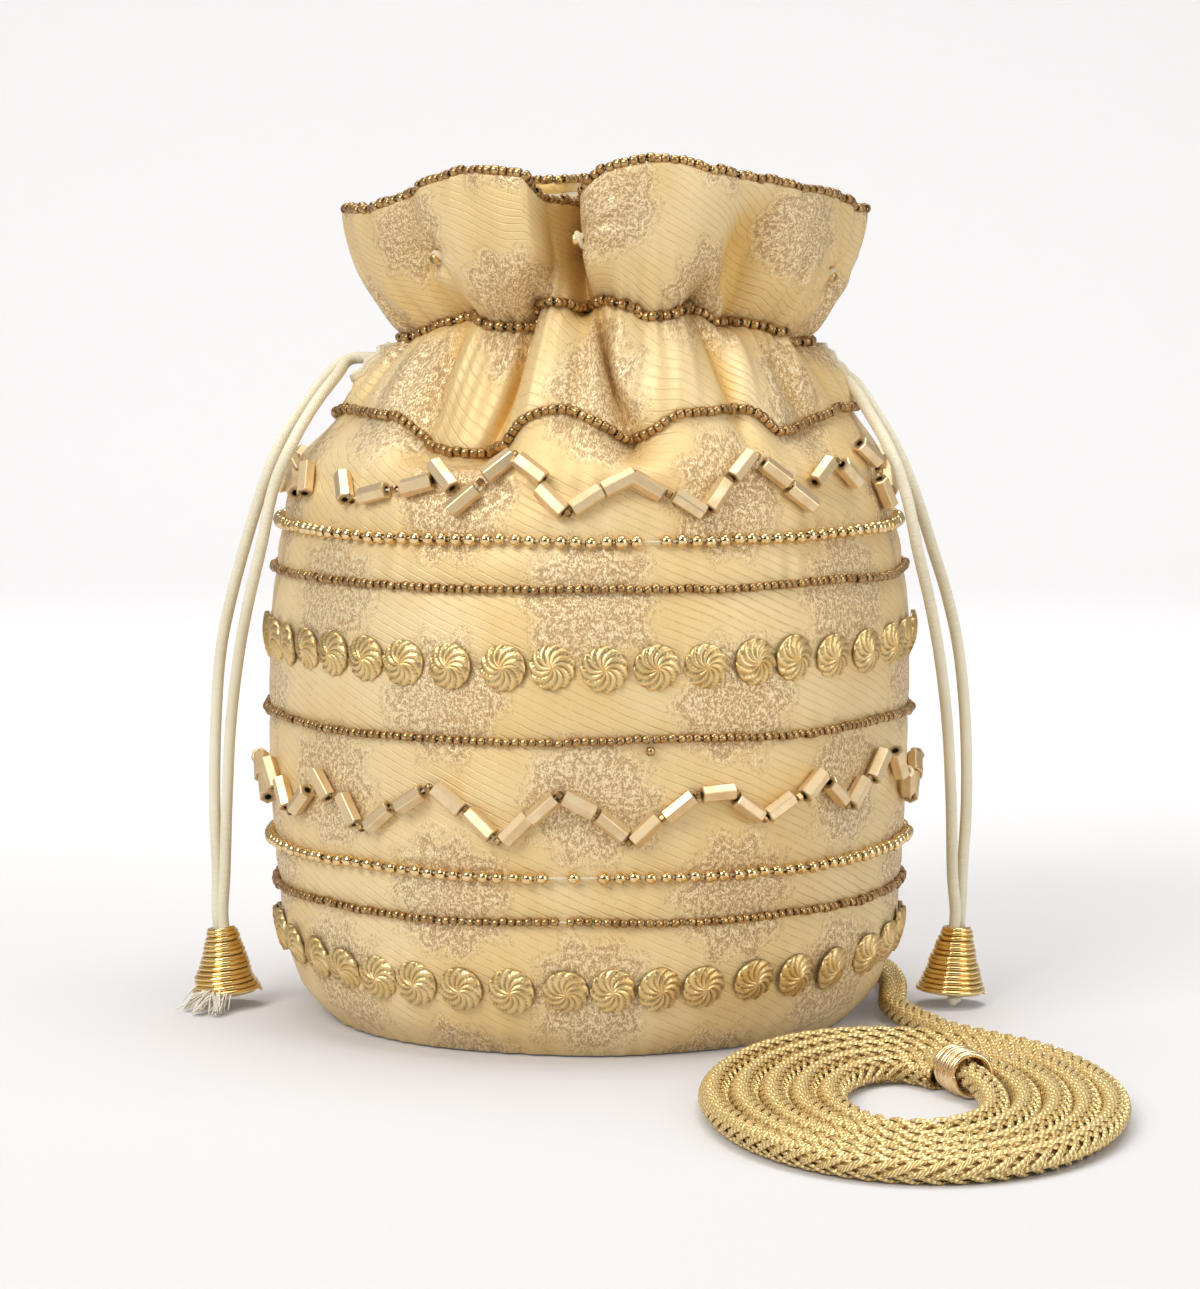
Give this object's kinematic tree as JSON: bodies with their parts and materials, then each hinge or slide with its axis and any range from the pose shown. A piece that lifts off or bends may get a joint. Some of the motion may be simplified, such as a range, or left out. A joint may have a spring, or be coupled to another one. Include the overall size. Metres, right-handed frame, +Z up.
{
  "type": "potli bag",
  "caption": "Round drawstring pouch of gold brocade with beaded rows, a gathered ruffled mouth, drawstrings ending in wire cones and a coiled braided sling.",
  "frame": {"origin": "on the resting plane, under the centre of the round base", "axes": "+Z up through the mouth; the front, with the notch of the ruffle, faces -Y; +X is to the right as seen from the front"},
  "size_m": [0.2217, 0.2927, 0.2121],
  "materials": {
    "brocade": "satin, woven with metallic yarn",
    "lining": "matt",
    "board": "matt",
    "bronze_beads": "polished",
    "gold_beads": "polished",
    "antique_gold": "antique",
    "tube_gold": "satin",
    "cone_gold": "polished",
    "copper_wire": "satin",
    "cord": "matt",
    "braid": "satin, metallic yarn"
  },
  "bodies": {
    "root": {"base_board": "board", "base_panel": "brocade", "casing_beads": "bronze_beads", "cone_left": "cone_gold", "cone_right": "cone_gold", "cord_end_left": "cord", "cord_end_right": "cord", "drawstring_left": "cord", "drawstring_right": "cord", "lining": "lining", "neck_beads": "bronze_beads", "rim_beads": "bronze_beads", "rosettes_lower": "antique_gold", "rosettes_upper": "antique_gold", "round_beads_lower": "gold_beads", "round_beads_upper": "gold_beads", "seed_beads_lower": "bronze_beads", "seed_beads_middle": "bronze_beads", "seed_beads_upper": "bronze_beads", "side_panel": "brocade", "sling_coil": "braid", "sling_collar": "copper_wire", "sling_run": "braid", "strand_left_inner": "cord", "strand_left_outer": "cord", "strand_right_inner": "cord", "strand_right_outer": "cord", "tack_bead_left": "gold_beads", "tack_bead_middle": "gold_beads", "tack_bead_right": "gold_beads", "tube_beads_lower": "tube_gold", "tube_beads_upper": "tube_gold"}
  },
  "joints": []
}
